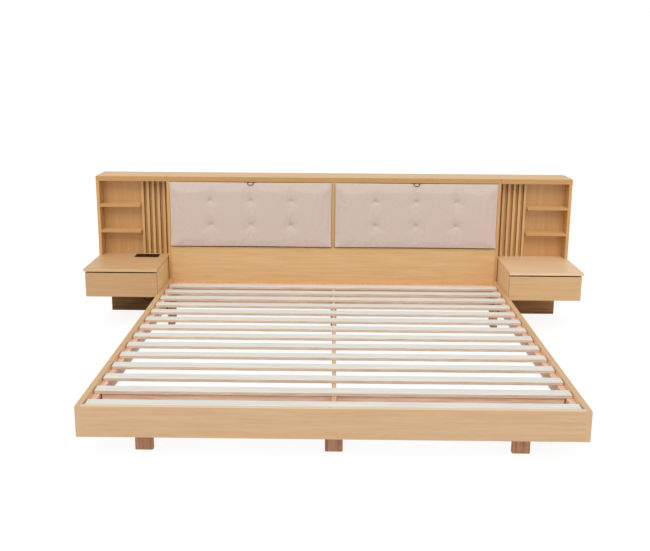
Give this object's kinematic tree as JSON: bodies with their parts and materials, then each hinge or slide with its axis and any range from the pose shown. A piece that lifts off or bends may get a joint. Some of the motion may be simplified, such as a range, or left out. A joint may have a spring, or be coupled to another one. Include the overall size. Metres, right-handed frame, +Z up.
{
  "type": "floating platform bed with storage headboard",
  "caption": "King bed with slatted base on set-back legs, padded flap compartments in the headboard, ribbed shelf towers and hung nightstands with drawers.",
  "frame": {"origin": "on the floor under the middle of the bed's plan, the lead left out", "axes": "+X to the right seen from the foot, +Y towards the headboard, +Z up"},
  "size_m": [2.82, 2.304, 0.852],
  "materials": {
    "oak_board": "matt oak grain",
    "oak_top": "matt oak grain, lit from above",
    "drawer_wood": "pale lacquered plywood",
    "red_timber": "reddish brown stained timber",
    "slat_wood": "whitewashed timber",
    "plinth_wood": "dark brown board",
    "linen": "pinkish beige woven linen",
    "strap": "soft brown strap",
    "steel": "zinc plated",
    "catch_plastic": "black",
    "black_plastic": "satin black",
    "lead_rubber": "black sheath"
  },
  "bodies": {
    "bed": {"side_rail_left": "oak_board", "side_rail_right": "oak_board", "foot_rail": "oak_board", "headboard_side_left": "oak_board", "headboard_side_right": "oak_board", "headboard_divider": "oak_board", "headboard_back": "oak_board", "headboard_floor": "oak_board", "headboard_lower_panel": "oak_board", "tower_side_left": "oak_board", "tower_side_right": "oak_board", "tower_back_left": "oak_board", "tower_back_right": "oak_board", "tower_ribs_left": "oak_board", "tower_ribs_right": "oak_board", "nightstand_case_left": "oak_board", "nightstand_case_right": "oak_board", "headboard_cap": "oak_top", "tower_cap_left": "oak_top", "tower_cap_right": "oak_top", "shelves_left": "oak_top", "shelves_right": "oak_top", "nightstand_top_left": "oak_top", "nightstand_top_right": "oak_top", "foot_cross_board": "red_timber", "head_cross_board": "red_timber", "ledgers": "red_timber", "leg_foot_left": "red_timber", "leg_foot_middle": "red_timber", "leg_foot_right": "red_timber", "leg_head_left": "red_timber", "leg_head_middle": "red_timber", "leg_head_right": "red_timber", "slats": "slat_wood", "centre_beam": "slat_wood", "plinth_left": "plinth_wood", "plinth_right": "plinth_wood", "corner_brackets": "steel", "flap_hinges": "steel", "drawer_runners": "steel", "magnet_catches": "catch_plastic", "power_unit": "black_plastic", "strain_relief": "black_plastic", "plug": "black_plastic", "lead": "lead_rubber", "lead_coil": "lead_rubber"},
    "drawer_left": {"drawer_front_left": "oak_board", "drawer_box_left": "drawer_wood", "drawer_slides_left": "steel"},
    "drawer_right": {"drawer_front_right": "oak_board", "drawer_box_right": "drawer_wood", "drawer_slides_right": "steel"},
    "flap_left": {"flap_board_left": "oak_board", "cushion_left": "linen", "pull_strap_left": "strap", "hinge_leaves_left": "steel"},
    "flap_right": {"flap_board_right": "oak_board", "cushion_right": "linen", "pull_strap_right": "strap", "hinge_leaves_right": "steel"}
  },
  "joints": [
    {"name": "drawer_left_slide", "type": "slide", "parent": "bed", "child": "drawer_left", "axis": [0, -1, 0], "range_m": [0, 0.28]},
    {"name": "drawer_right_slide", "type": "slide", "parent": "bed", "child": "drawer_right", "axis": [0, -1, 0], "range_m": [0, 0.28]},
    {"name": "flap_left_hinge", "type": "hinge", "parent": "bed", "child": "flap_left", "pos_m": [-0.491, 0.927, 0.433], "axis": [1, 0, 0], "range_deg": [0, 90]},
    {"name": "flap_right_hinge", "type": "hinge", "parent": "bed", "child": "flap_right", "pos_m": [0.491, 0.927, 0.433], "axis": [1, 0, 0], "range_deg": [0, 90]}
  ]
}
